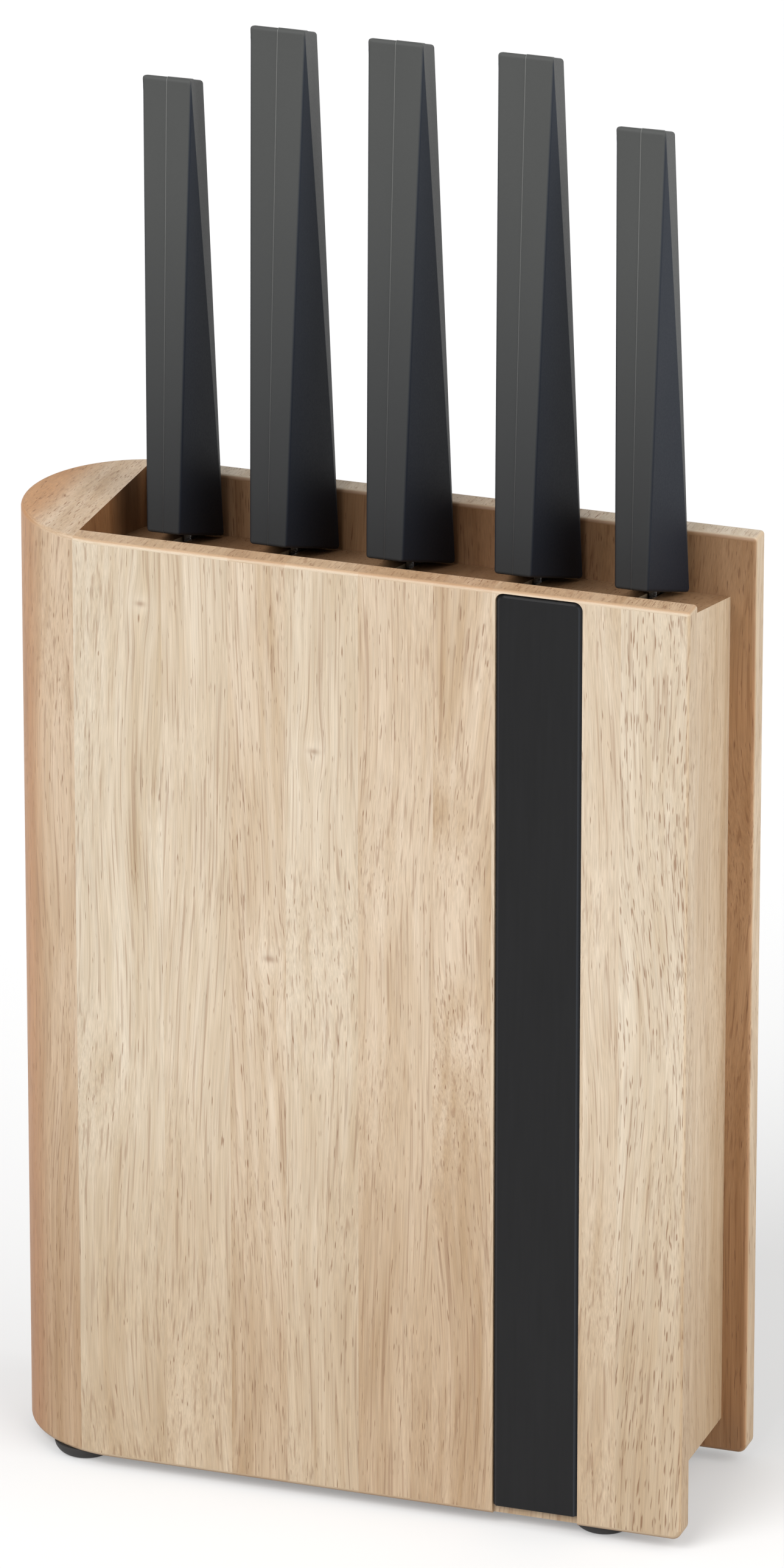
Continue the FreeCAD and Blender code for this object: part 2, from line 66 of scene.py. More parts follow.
# How each board of the front panel looks, from the rounded end to the open end: the share of tan
# in its colour, how pink it is, how strong its figure and its pores are, and where a small knot
# sits (millimetres from the middle of the block and above the table, and the knot's radius).
FRONT_BOARDS = [
    {"tone": 0.46, "blush": 0.05, "figure": 0.30, "pores": 0.15, "knot": (-49.3, 230.5, 1.2)},
    {"tone": 0.42, "blush": 0.10, "figure": 0.40, "pores": 0.20},
    {"tone": 0.55, "blush": 0.20, "figure": 1.00, "pores": 0.55, "knot": (-16.6, 142.5, 1.5)},
    {"tone": 0.42, "blush": 0.10, "figure": 0.50, "pores": 0.35, "knot": (-5.3, 198.0, 1.3)},
    {"tone": 0.48, "blush": 0.25, "figure": 0.40, "pores": 0.40},
    {"tone": 0.52, "blush": 0.28, "figure": 1.20, "pores": 0.45},
    {"tone": 0.45, "blush": 0.20, "figure": 0.50, "pores": 0.40},
    {"tone": 0.46, "blush": 0.15, "figure": 0.40, "pores": 0.15},
    {"tone": 0.45, "blush": 0.08, "figure": 0.60, "pores": 1.00},
]
END_BLOCK = {"tone": 0.55, "blush": 0.36, "figure": 0.6, "pores": 0.6}
BOTTOM_BOARD = {"tone": 0.45, "blush": 0.2}

# The end block is pink and darker at its rounded end, partly its own colour and partly painted
# shade where the end turns from the light, and turns to its own colour between these two places
# (millimetres from that end).
PINK_SHADE_FADES = (5, 14)

# The other boards draw their looks from these ranges, in this order.
BACK_RANGES = {"tone": (0.3, 0.6), "blush": (0.05, 0.4), "figure": (0.3, 1.2),
               "pores": (0.3, 1.0)}
CORE_RANGES = {"tone": (0.2, 0.5), "blush": (0.1, 0.35), "pores": (0.3, 0.7)}
CORE_FIGURE = 0.5

# Seeds of a row of boards: what is added to the block's seed, and the step from board to board.
FRONT_SEEDS = (0, 3.7)
BACK_SEEDS = (50, 3.1)
CORE_SEEDS = (120, 2.3)
BOTTOM_SEED = 90

# How a board's grain is drawn.  Lengths are in metres, scales are per metre, and patterns run
# from 0 to 1.
SEED_STEP = (0.0373, 0.0119, 0.0917)  # from the wood of one seed to that of the next
SAWN_SQUEEZE = 0.86                   # how much the grain shrinks in depth on a sawn end
LEAST_KNOT = 1e-5                     # stands in for the radius where a board has no knot
KNOT_SWIRL = (2.5, 7.0)               # reach of the bent grain in knot radii, across and along
KNOT_HALO = (2.6, 2.2)                # reach of the pale wood round a knot
KNOT_HEART = (1.1, 0.6)               # reach of its dark middle
SWIRL_PULL = 0.78                     # how far the grain is drawn in towards a knot
WANDER_SCALE = (22.0, 22.0, 6.0)      # how often the grain wanders off its line
WANDER_REACH = (0.026, 0.026, 0.0)    # and how far
GROWTH_TURNS = 46.0                   # radians of growth lines over a pattern's whole range
BAND_CONTRAST = 1.1                   # how strongly the bands, the bundles and the growth lines
BUNDLE_CONTRAST = 0.8                 # change a board's share of tan
GROWTH_CONTRAST = 0.13
HALO_PALER = 0.25
FIBRE_SPAN = (0.25, 0.75)             # from the darkest to the lightest fibre in its pattern
FIBRE_SHADES = (0.86, 1.10)           # what these are multiplied by
HAIRLINE_SPAN = (0.54, 0.72)          # where in its pattern a hairline starts and is full
HAIRLINE_DEPTH = 0.42                 # share of the pores' colour in a hairline, a pore, a knot
PORE_DEPTH = 0.72
KNOT_DEPTH = 0.55
PORE_LEVEL = 0.73                     # where in its pattern a pore opens, if none crowd round it
CROWD_LEVEL = 0.20                    # how much sooner it does where they crowd
PORE_SOFTNESS = 0.10
WELL_DEPTHS = (0.012, 0.045)          # below the rim, where the well's shade is full and where gone
FOOT_HEIGHTS = (0.02, 0.14)           # above the table, the same for the foot's shade
WOOD_DULLNESS = 0.38                  # roughness of the wood, and what fibres and pores add
FIBRE_DULLNESS = 0.16
PORE_DULLNESS = 0.25
FIBRE_RELIEF = 0.35                   # height of a fibre as a share of a pore's depth

# Faces get a shade when they are turned far enough towards a direction.  Each pair says how far
# (1 is all the way) it starts and is full.
TURNED = (0.25, 0.85)                 # up, down or along the length, for a board
INWARD = (0.3, 0.9)                   # to a board's inner side
SIDEWAYS = (0.3, 0.9)                 # along the length, for a handle or the strip
BACKWARD = (-0.05, 0.12)              # to the back, where a handle's flank shade ends

# Fine grain of each other surface: grains per metre along X, Y and Z, how much its colour
# varies, how dull it is and how deep the grain lies.
SURFACES = {
    "strip": {"grain": (900.0, 900.0, 40.0), "variation": 0.5, "dullness": 0.34,
              "relief": 0.004 * MM},
    "tape": {"grain": (1500.0, 1500.0, 1500.0), "variation": 0.2, "dullness": 0.75,
             "relief": 0.02 * MM},
    "rubber": {"grain": (2500.0, 2500.0, 2500.0), "variation": 0.25, "dullness": 0.68,
               "relief": 0.02 * MM},
    "steel": {"grain": (200.0, 60.0, 9000.0), "variation": 0.10, "dullness": 0.27,
              "relief": 0.003 * MM},
    "grip": {"grain": (1900.0, 1900.0, 1900.0), "variation": 0.12, "dullness": 0.58,
             "relief": 0.006 * MM},
    "mould line": {"grain": (1900.0, 1900.0, 1900.0), "variation": 0.12, "dullness": 0.5,
                   "relief": 0.004 * MM},
}
CLOUD_SCALE = (55.0, 55.0, 22.0)
GRAIN_DULLNESS = 0.25                 # how much the grain and the clouds change a surface's gloss
CLOUD_DULLNESS = 0.12

# How a handle's mould line is found: points closer than SEAM_WELD are one point, SEAM_CUT and
# SEAM_NEAR say what counts as in the middle plane, and an edge is left out if something covers
# it SEAM_LIFT above its face, or if its face looks further down than SEAM_DOWN.
SEAM_WELD = 0.005 * MM
SEAM_CUT = 0.001 * MM
SEAM_NEAR = 0.01 * MM
SEAM_LIFT = 0.05 * MM
SEAM_DOWN = -0.5
SEAM_SIDES = 8

# The stage: angles of the lights are in degrees, round the block and above the horizon.
KEY_SUN = {"azimuth": -22, "elevation": 42, "softness": 40}
FILL_SUN = {"azimuth": 72, "elevation": 30, "softness": 60}
FLOOR_RADIUS = 60.0
FLOOR_SIDES = 96
MOTTLE_SCALE = (3.0, 3.0, 3.0)
MOTTLE_SHARE = 0.03                   # share of white in the palest patch of the floor
CAMERA_REACH = 200.0


# ---- settings -----------------------------------------------------------------------------------
def colour_setting(name, description, default):
    return FloatVectorProperty(name=name, description=description, subtype="COLOR",
                               default=default, min=0.0, max=1.0)


def length_setting(name, description, default):
    return FloatProperty(name=name, description=description, unit="LENGTH", default=default,
                         min=0.0)


class WoodSettings(PropertyGroup):
    pale: colour_setting("Pale wood", "Colour of the lightest wood", tint(206, 195, 177))
    tan: colour_setting("Tan wood", "Colour of the darker streaks", tint(172, 152, 124))
    pore: colour_setting("Pores", "Colour of the open pores", tint(126, 92, 66))
    blush: colour_setting("Blush", "What a pink board's colour is multiplied by",
                          (0.80, 0.52, 0.33))
    # Painted shade: the inner walls and the well's floor are made darker and browner, standing in
    # for the shade inside the block.
    shade: colour_setting("Inner shade", "What the darkened inner walls are multiplied by",
                          (0.76, 0.53, 0.36))
    # Partly painted shade: the sawn tops are darker end grain, and are also darkened to damp the
    # light on them and on their rounded edges.
    sawn: colour_setting("Sawn ends", "What the panels' sawn top edges are multiplied by",
                         (0.82, 0.68, 0.56))
    # Partly painted shade: faces along the length are made browner, partly their own grain and
    # partly a painted warm shade.
    side: colour_setting("Sides", "What faces along the block's length are multiplied by",
                         (1.0, 0.93, 0.84))
    well_shade: FloatProperty(name="Well shade", description="How much light the well keeps",
                              default=0.68, min=0.0, max=1.0)
    foot_shade: colour_setting("Foot shade", "What the wood's foot is multiplied by",
                               (0.80, 0.74, 0.67))
    pore_width: length_setting("Pore width", "Spacing of the pores across the grain", 0.28 * MM)
    pore_length: length_setting("Pore length", "Spacing of the pores along the grain", 5 * MM)
    figure_width: length_setting("Figure width", "Width of a band of the figure", 15 * MM)
    figure_length: length_setting("Figure length", "Length of a band of the figure", 230 * MM)
    relief: length_setting("Relief", "How deep the pores lie", 0.05 * MM)
    seed: IntProperty(name="Seed", description="Picks another set of boards", default=4)


class KnifeSettings(PropertyGroup):
    grip: colour_setting("Grip", "Colour of the soft-touch handles", tint(70, 71, 70))
    # Painted shade: a handle darkens from its butt towards the blade end.
    grip_low_shaded: colour_setting("Grip near the blade", "Colour of a handle's lower end",
                             tint(48, 49, 50))
    flank_shade: colour_setting("Flank shade", "What a handle's flanks are multiplied by",
                                (0.40, 0.46, 0.62))
    seam: colour_setting("Mould line", "Colour of the line where the mould parts",
                         tint(90, 91, 89))
    seam_radius: length_setting("Mould line radius", "Half the width of the mould line",
                                0.13 * MM)
    steel: colour_setting("Steel", "Colour of the blades", (0.47, 0.47, 0.48))


class FittingSettings(PropertyGroup):
    strip: colour_setting("Strip", "Colour of the inlaid strip", tint(21, 21, 22))
    # Painted highlight: a bluish grey added on the strip's bevels stands in for their reflection.
    strip_edge_highlight: colour_setting("Strip edge", "What is added on the strip's bevels",
                               (0.022, 0.026, 0.032))
    rubber: colour_setting("Rubber", "Colour of the feet", tint(40, 38, 37))
    tape: colour_setting("Tape", "Colour of the tape behind the strip", tint(120, 116, 108))


class StageSettings(PropertyGroup):
    azimuth: FloatProperty(name="Azimuth", description="Camera's angle round the block",
                           subtype="ANGLE", default=math.radians(19.018))
    elevation: FloatProperty(name="Elevation", description="Camera's angle above the horizon",
                             subtype="ANGLE", default=math.radians(21.705))
    distance: length_setting("Distance", "From the camera to the point it looks at", 2.8942)
    look_at: FloatVectorProperty(name="Look at", description="Point the camera looks at",
                                 subtype="XYZ", unit="LENGTH", default=(0.00432, 0.0, 0.17959))
    lens: FloatProperty(name="Lens", description="Focal length in millimetres", default=273.95)
    sky: FloatProperty(name="Sky", description="Brightness of the even light all round",
                       default=0.62)
    key: FloatProperty(name="Key light", description="Strength of the main soft light",
                       default=2.6)
    fill: FloatProperty(name="Fill light", description="Strength of the soft light from the side",
                        default=2.15)
    floor: colour_setting("Floor", "Colour of the floor", (0.50, 0.50, 0.50))
    floor_glow: FloatProperty(name="Floor glow", description="White that is added to the floor",
                              default=0.26)


class BlockSettings(PropertyGroup):
    wood: PointerProperty(type=WoodSettings, name="Wood", description="Boards of the block")
    knives: PointerProperty(type=KnifeSettings, name="Knives", description="Handles and blades")
    fittings: PointerProperty(type=FittingSettings, name="Fittings",
                              description="Strip, tape and feet")
    stage: PointerProperty(type=StageSettings, name="Stage", description="Camera, light, floor")


# ---- node trees ---------------------------------------------------------------------------------
def add_node(tree, kind, values=None, **settings):
    """Adds a node and fills its inputs; a socket given as a value is linked."""
    node = tree.nodes.new(kind)
    for key, value in settings.items():
        setattr(node, key, value)
    for key, value in (values or {}).items():
        if isinstance(value, bpy.types.NodeSocket):
            tree.links.new(value, node.inputs[key])
        else:
            node.inputs[key].default_value = value
    return node


def calculate(tree, operation, *values, clamp=False):
    node = add_node(tree, "ShaderNodeMath", dict(enumerate(values)), operation=operation,
                    use_clamp=clamp)
    return node.outputs[0]


def calculate_vector(tree, operation, first, second, output="Vector"):
    node = add_node(tree, "ShaderNodeVectorMath", {0: first, 1: second}, operation=operation)
    return node.outputs[output]


def stretch(tree, place, scale):
    return calculate_vector(tree, "MULTIPLY", place, scale)


def multiply(tree, colour, by):
    return mix_colours(tree, 1.0, colour, by, "MULTIPLY")


def centre(tree, value):
    """Makes a pattern that runs from 0 to 1 run from -0.5 to 0.5."""
    return calculate(tree, "SUBTRACT", value, 0.5)


def split(tree, vector):
    """The three parts of a vector."""
    return add_node(tree, "ShaderNodeSeparateXYZ", {0: vector}).outputs


def own_place(tree):
    """Where a point of the surface lies in its object."""
    return add_node(tree, "ShaderNodeTexCoord").outputs["Object"]


def facing_of(tree):
    """Which way the surface faces."""
    return add_node(tree, "ShaderNodeNewGeometry").outputs["Normal"]


def noise(tree, place, detail=2.0, roughness=0.5, output="Fac"):
    node = add_node(tree, "ShaderNodeTexNoise",
                    {"Vector": place, "Scale": 1.0, "Detail": detail, "Roughness": roughness})
    return node.outputs[output]


def ramp(tree, value, low, high, to_low=0.0, to_high=1.0):
    """Turns low..high smoothly into to_low..to_high."""
    node = add_node(tree, "ShaderNodeMapRange",
                    {"Value": value, "From Min": low, "From Max": high,
                     "To Min": to_low, "To Max": to_high}, interpolation_type="SMOOTHSTEP")
    return node.outputs[0]


def mix_colours(tree, share, first, second, way="MIX"):
    node = add_node(tree, "ShaderNodeMix", {0: share, 6: first, 7: second},
                    data_type="RGBA", blend_type=way)
    return node.outputs[2]


def opaque(colour):
    return (*colour, 1.0)


def grey(tree, value):
    """A grey whose three parts are this value."""
    return add_node(tree, "ShaderNodeCombineXYZ", {0: value, 1: value, 2: value}).outputs[0]


def new_group(name, inputs, outputs):
    """A shader node group with these sockets; returns its tree and its input and output nodes."""
    tree = bpy.data.node_groups.new(name, "ShaderNodeTree")
    for direction, sockets in (("INPUT", inputs), ("OUTPUT", outputs)):
        for label, kind in sockets.items():
            tree.interface.new_socket(label, in_out=direction, socket_type=f"NodeSocket{kind}")
    return tree, tree.nodes.new("NodeGroupInput"), tree.nodes.new("NodeGroupOutput")


def new_material(name, shader_values):
    """An empty material with a Principled shader; returns it, its tree and the shader."""
    material = bpy.data.materials.new(name)
    material.use_nodes = True
    tree = material.node_tree
    tree.nodes.clear()
    shader = add_node(tree, "ShaderNodeBsdfPrincipled", shader_values)
    add_node(tree, "ShaderNodeOutputMaterial", {"Surface": shader.outputs[0]})
    return material, tree, shader


def connect_finish(tree, shader, group_node, relief):
    """Feeds a finish group's colour, roughness and height to the shader."""
    bump = add_node(tree, "ShaderNodeBump", {"Height": group_node.outputs["Height"],
                                             "Distance": relief, "Strength": 1.0})
    tree.links.new(group_node.outputs["Color"], shader.inputs["Base Color"])
    tree.links.new(group_node.outputs["Roughness"], shader.inputs["Roughness"])
    tree.links.new(bump.outputs[0], shader.inputs["Normal"])


# ---- wood ---------------------------------------------------------------------------------------
def board_group():
    """Grain of one board: soft bands of tan, growth lines, fibres, short dark pores and, where
    it has one, a small knot that the grain flows round.  The grain runs up the board, and on its
    sawn ends the streaks run from front to back.  Sawn ends and sides each get a colour that is
    partly their own and partly painted shade; the inner side and the block's foot get painted
    shade, and the inner side is dimmer near the rim."""
    if "board_grain" in bpy.data.node_groups:
        return bpy.data.node_groups["board_grain"]
    tree, given, result = new_group(
        "board_grain",
        {"Seed": "Float", "Pale": "Color", "Tan": "Color", "Pore Colour": "Color",
         "Blush Colour": "Color", "Shade Colour": "Color", "Tone": "Float", "Blush": "Float",
         "Figure": "Float", "Pores": "Float", "Pore Size": "Vector", "Figure Size": "Vector",
         "Knot X": "Float", "Knot Z": "Float", "Knot Radius": "Float", "Inner Side": "Vector",
         "Well Shade": "Float", "Rim": "Float", "Foot Shade": "Color", "Top Shade": "Color",
         "Side Shade": "Color"},
        {"Color": "Color", "Roughness": "Float", "Height": "Float"})
    value = given.outputs
    x, y, z = split(tree, own_place(tree))
    facing = facing_of(tree)
    facing_x, _, facing_z = split(tree, facing)
    side = calculate(tree, "ABSOLUTE", facing_x)
    top = calculate(tree, "ABSOLUTE", facing_z)
    squeeze = calculate(tree, "MULTIPLY_ADD", top, -SAWN_SQUEEZE, 1.0)

    across = calculate(tree, "SUBTRACT", x, value["Knot X"])
    along = calculate(tree, "SUBTRACT", z, value["Knot Z"])
    radius = calculate(tree, "MAXIMUM", value["Knot Radius"], LEAST_KNOT)

    def bell(width, height):
        """1 at the knot's middle, and falling off this many radii from it."""
        parts = [calculate(tree, "DIVIDE", part, calculate(tree, "MULTIPLY", radius, size))
                 for part, size in ((across, width), (along, height))]
        square = calculate(tree, "ADD", *(calculate(tree, "MULTIPLY", part, part)
                                          for part in parts))
        return calculate(tree, "EXPONENT", calculate(tree, "MULTIPLY", square, -1.0))

    swirl, halo, knot = bell(*KNOT_SWIRL), bell(*KNOT_HALO), bell(*KNOT_HEART)
    pull = calculate(tree, "MULTIPLY", calculate(tree, "MULTIPLY", across, swirl), SWIRL_PULL)
    drawn_in = calculate(tree, "SUBTRACT", x, pull)
    moved = [calculate(tree, "MULTIPLY_ADD", value["Seed"], step, place)
             for step, place in zip(SEED_STEP, (drawn_in, y, z))]
    moved[1] = calculate(tree, "MULTIPLY", moved[1], squeeze)
    shifted = add_node(tree, "ShaderNodeCombineXYZ", dict(enumerate(moved))).outputs[0]
    wander = noise(tree, stretch(tree, shifted, WANDER_SCALE), detail=1.0, output="Color")
    drift = stretch(tree, calculate_vector(tree, "SUBTRACT", wander, (0.5, 0.5, 0.5)),
                    WANDER_REACH)
    grain = calculate_vector(tree, "ADD", shifted, drift)

    def streaks(size, shrink, detail, roughness=0.5, longer=1.0):
        """Noise along the grain whose patches have this size, divided by shrink."""
        scaled = calculate_vector(tree, "DIVIDE", grain, size)
        return noise(tree, stretch(tree, scaled, (shrink, shrink, shrink / longer)), detail,
                     roughness)

    bands = streaks(value["Figure Size"], shrink=1.9, detail=2.5)
    bundles = streaks(value["Figure Size"], shrink=8.0, detail=2.0)
    field = streaks(value["Figure Size"], shrink=1.0, detail=1.5)
    growth = calculate(tree, "SINE", calculate(tree, "MULTIPLY", field, GROWTH_TURNS))
    fibres = streaks(value["Pore Size"], shrink=1.5, detail=2.0, roughness=0.6, longer=6.0)
    hairs = streaks(value["Pore Size"], shrink=0.55, detail=1.0, longer=5.0)
    crowding = streaks(value["Figure Size"], shrink=1.4, detail=1.0)
    pits = streaks(value["Pore Size"], shrink=1.0, detail=0.5)

    share = value["Tone"]
    for pattern, contrast in (
            (centre(tree, bands), BAND_CONTRAST), (centre(tree, bundles), BUNDLE_CONTRAST),
            (calculate(tree, "MULTIPLY", growth, value["Figure"]), GROWTH_CONTRAST)):
        share = calculate(tree, "MULTIPLY_ADD", pattern, contrast, share)
    share = calculate(tree, "MULTIPLY_ADD", halo, -HALO_PALER, share, clamp=True)
    colour = mix_colours(tree, share, value["Pale"], value["Tan"])
    glow = ramp(tree, fibres, *FIBRE_SPAN, *FIBRE_SHADES)
    colour = multiply(tree, colour, grey(tree, glow))
    colour = mix_colours(tree, value["Blush"], colour,
                         multiply(tree, colour, value["Blush Colour"]))

    hairline = ramp(tree, hairs, *HAIRLINE_SPAN, to_high=HAIRLINE_DEPTH)
    crowded = calculate(tree, "MULTIPLY", crowding, value["Pores"])
    edge = calculate(tree, "MULTIPLY_ADD", crowded, -CROWD_LEVEL, PORE_LEVEL)
    open_pore = ramp(tree, pits, edge, calculate(tree, "ADD", edge, PORE_SOFTNESS))
    for mark in (hairline, calculate(tree, "MULTIPLY", open_pore, PORE_DEPTH),
                 calculate(tree, "MULTIPLY", knot, KNOT_DEPTH)):
        colour = mix_colours(tree, mark, colour, value["Pore Colour"])

    # Sawn ends and sides: partly their own colour, partly painted shade.
    for turned, shade in ((top, value["Top Shade"]), (side, value["Side Shade"])):
        colour = mix_colours(tree, ramp(tree, turned, *TURNED), colour,
                             multiply(tree, colour, shade))
    # Painted shade on the inner side, dimmer near the rim.
    inward = calculate_vector(tree, "DOT_PRODUCT", facing, value["Inner Side"], output="Value")
    below = calculate(tree, "SUBTRACT", value["Rim"], z)
    well = ramp(tree, below, *WELL_DEPTHS, to_low=value["Well Shade"])
    shaded = multiply(tree, multiply(tree, colour, value["Shade Colour"]), grey(tree, well))
    colour = mix_colours(tree, ramp(tree, inward, *INWARD), colour, shaded)
    # Painted shade towards the block's foot.
    near_foot = ramp(tree, z, *FOOT_HEIGHTS, to_low=1.0, to_high=0.0)
    colour = mix_colours(tree, near_foot, colour, multiply(tree, colour, value["Foot Shade"]))

    height = calculate(tree, "SUBTRACT", calculate(tree, "MULTIPLY", fibres, FIBRE_RELIEF),
                       open_pore)
    dull = calculate(tree, "MULTIPLY_ADD", open_pore, PORE_DULLNESS,
                     calculate(tree, "MULTIPLY_ADD", fibres, FIBRE_DULLNESS, WOOD_DULLNESS))
    for label, socket in (("Color", colour), ("Roughness", dull), ("Height", height)):
        tree.links.new(socket, result.inputs[label])
    return tree


def wood_material(name, seed, tone=0.4, blush=0.1, figure=0.5, pores=0.5, knot=(0.0, 0.0, 0.0),
                  inner_side=(0.0, 0.0, 0.0), top_shade=(1.0, 1.0, 1.0), pink_shade_from=None):
    """Wood of one board.  pink_shade_from gives two places along the block between which a board
    turns from pink and painted shade to its own colour."""
    wood = bpy.context.scene.knife_block.wood
    material, tree, shader = new_material(name, {"Specular IOR Level": 0.42})
    if pink_shade_from:
        x = split(tree, own_place(tree))[0]
        blush = ramp(tree, x, *pink_shade_from, to_low=1.0, to_high=blush)
    group = add_node(tree, "ShaderNodeGroup", node_tree=board_group())
    for label, setting in {
            "Seed": float(seed), "Pale": opaque(wood.pale), "Tan": opaque(wood.tan),
            "Pore Colour": opaque(wood.pore), "Blush Colour": opaque(wood.blush),
            "Shade Colour": opaque(wood.shade), "Tone": tone, "Blush": blush, "Figure": figure,
            "Pores": pores, "Pore Size": (wood.pore_width, wood.pore_width, wood.pore_length),
            "Figure Size": (wood.figure_width, wood.figure_width, wood.figure_length),
            "Knot X": knot[0] * MM, "Knot Z": knot[1] * MM, "Knot Radius": knot[2] * MM,
            "Inner Side": inner_side, "Well Shade": wood.well_shade,
            "Rim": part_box("end_block")[1].z, "Foot Shade": opaque(wood.foot_shade),
            "Top Shade": opaque(top_shade), "Side Shade": opaque(wood.side)}.items():
        if isinstance(setting, bpy.types.NodeSocket):
            tree.links.new(setting, group.inputs[label])
        else:
            group.inputs[label].default_value = setting
    connect_finish(tree, shader, group, wood.relief)
    return material


# ---- other finishes -----------------------------------------------------------------------------
def grained_group():
    """A moulded or rubbed surface: a colour that varies a little, a colour that changes from low
    to high on the piece (painted shade on the handles), painted highlight and shade on faces
    turned sideways, and a fine grain in its gloss and relief."""
    if "fine_grain" in bpy.data.node_groups:
        return bpy.data.node_groups["fine_grain"]
    tree, given, result = new_group(
        "fine_grain",
        {"Low Colour": "Color", "High Colour": "Color", "Low": "Float", "High": "Float",
         "Grain Scale": "Vector", "Variation": "Float", "Dullness": "Float",
         "Flank Shade": "Color", "Edge Light": "Color"},
        {"Color": "Color", "Roughness": "Float", "Height": "Float"})
    value = given.outputs
    here = own_place(tree)
    rise = ramp(tree, split(tree, here)[2], value["Low"], value["High"])
    colour = mix_colours(tree, rise, value["Low Colour"], value["High Colour"])
    clouds = noise(tree, stretch(tree, here, CLOUD_SCALE), detail=3.0)
    grain = noise(tree, stretch(tree, here, value["Grain Scale"]), detail=2.0, roughness=0.6)
    both = calculate(tree, "SUBTRACT", calculate(tree, "ADD", clouds, grain), 1.0)
    change = calculate(tree, "MULTIPLY_ADD", both, value["Variation"], 1.0)
    colour = multiply(tree, colour, grey(tree, change))
    # Painted highlight and shade: sideways faces get Edge Light added and are multiplied by Flank
    # Shade unless turned a little to the back.
    sideways, backward, _ = split(tree, facing_of(tree))
    side = ramp(tree, calculate(tree, "ABSOLUTE", sideways), *SIDEWAYS)
    lit = mix_colours(tree, 1.0, colour, value["Edge Light"], "ADD")
    shaded = mix_colours(tree, ramp(tree, backward, *BACKWARD),
                         multiply(tree, lit, value["Flank Shade"]), lit)
    colour = mix_colours(tree, side, colour, shaded)
    dull = calculate(tree, "MULTIPLY_ADD", centre(tree, grain), GRAIN_DULLNESS,
                     value["Dullness"])
    dull = calculate(tree, "MULTIPLY_ADD", centre(tree, clouds), CLOUD_DULLNESS, dull)
    for label, socket in (("Color", colour), ("Roughness", dull), ("Height", grain)):
        tree.links.new(socket, result.inputs[label])
    return tree


def grained_material(name, low, high, span, grain, variation, dullness, relief,
                     flank_shade=(1.0, 1.0, 1.0), edge_light=(0.0, 0.0, 0.0), **shader_values):
    """A fine-grained material: its colour goes from low to high over the span of heights.  On
    faces that are turned sideways edge_light is added to it as a painted highlight, and it is
    multiplied by flank_shade as painted shade unless they are turned a little to the back as well."""
    values = {key.replace("_", " "): setting for key, setting in shader_values.items()}
    material, tree, shader = new_material(name, values)
    group = add_node(tree, "ShaderNodeGroup", node_tree=grained_group())
    for label, setting in {"Low Colour": opaque(low), "High Colour": opaque(high),
                           "Low": span[0], "High": span[1], "Grain Scale": grain,
                           "Variation": variation, "Dullness": dullness,
                           "Flank Shade": opaque(flank_shade),
                           "Edge Light": opaque(edge_light)}.items():
        group.inputs[label].default_value = setting
    connect_finish(tree, shader, group, relief)
    return material


# ---- pieces -------------------------------------------------------------------------------------
def finish(node, material):
    """Gives a CAD piece its material."""
    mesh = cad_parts[node].data
    mesh.materials.clear()
    mesh.materials.append(material)


def nodes_named(start):
    """CAD pieces whose names begin this way, in the order of their numbers."""
    found = [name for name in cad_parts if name.startswith(start)]
    return sorted(found, key=lambda name: (len(name), name))


def span_of(node):
    """Heights of a CAD piece's lowest and highest points."""
    low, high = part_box(node)
    return low.z, high.z


def row_of_seeds(seed, seeds):
    """Endless seeds for the boards of one row, from the block's seed."""
    first, step = seeds
    for number in itertools.count(1):
        yield seed + first + number * step


def drawn_look(draw, ranges):
    return {name: draw.uniform(*limits) for name, limits in ranges.items()}


class KNIFEBLOCK_OT_panels(Operator):
    """Finish the rounded end block and the boards of both panels"""
    bl_idname = "knife_block.panels"
    bl_label = "Panels"

    def execute(self, context):
        wood = context.scene.knife_block.wood
        draw = random.Random(wood.seed)
        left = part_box("end_block")[0].x
        # The rounded end is pink and darker, partly its own colour and partly painted shade.
        finish("end_block", wood_material(
            "end_block_wood", wood.seed, inner_side=(1.0, 0.0, 0.0),
            pink_shade_from=[left + place * MM for place in PINK_SHADE_FADES], **END_BLOCK))
        for node, look, seed in zip(nodes_named("front_stave"), FRONT_BOARDS,
                                    row_of_seeds(wood.seed, FRONT_SEEDS)):
            finish(node, wood_material(f"{node}_wood", seed, inner_side=(0.0, 1.0, 0.0),
                                       top_shade=wood.sawn, **look))
        for node, seed in zip(nodes_named("back_stave"), row_of_seeds(wood.seed, BACK_SEEDS)):
            finish(node, wood_material(f"{node}_wood", seed, inner_side=(0.0, -1.0, 0.0),
                                       **drawn_look(draw, BACK_RANGES)))
        return {"FINISHED"}


class KNIFEBLOCK_OT_core(Operator):
    """Finish the boards and spacers of the core and the board under it"""
    bl_idname = "knife_block.core"
    bl_label = "Core"

    def execute(self, context):
        block_seed = context.scene.knife_block.wood.seed
        draw = random.Random(block_seed + 1)
        inner = [node for row in ("core_board", "front_spacer", "back_spacer")
                 for node in nodes_named(row)]
        for node, seed in zip(inner, row_of_seeds(block_seed, CORE_SEEDS)):
            finish(node, wood_material(f"{node}_wood", seed, inner_side=(0.0, 0.0, 1.0),
                                       figure=CORE_FIGURE, **drawn_look(draw, CORE_RANGES)))
        finish("bottom_board", wood_material("bottom_board_wood", block_seed + BOTTOM_SEED,
                                             **BOTTOM_BOARD))
        return {"FINISHED"}


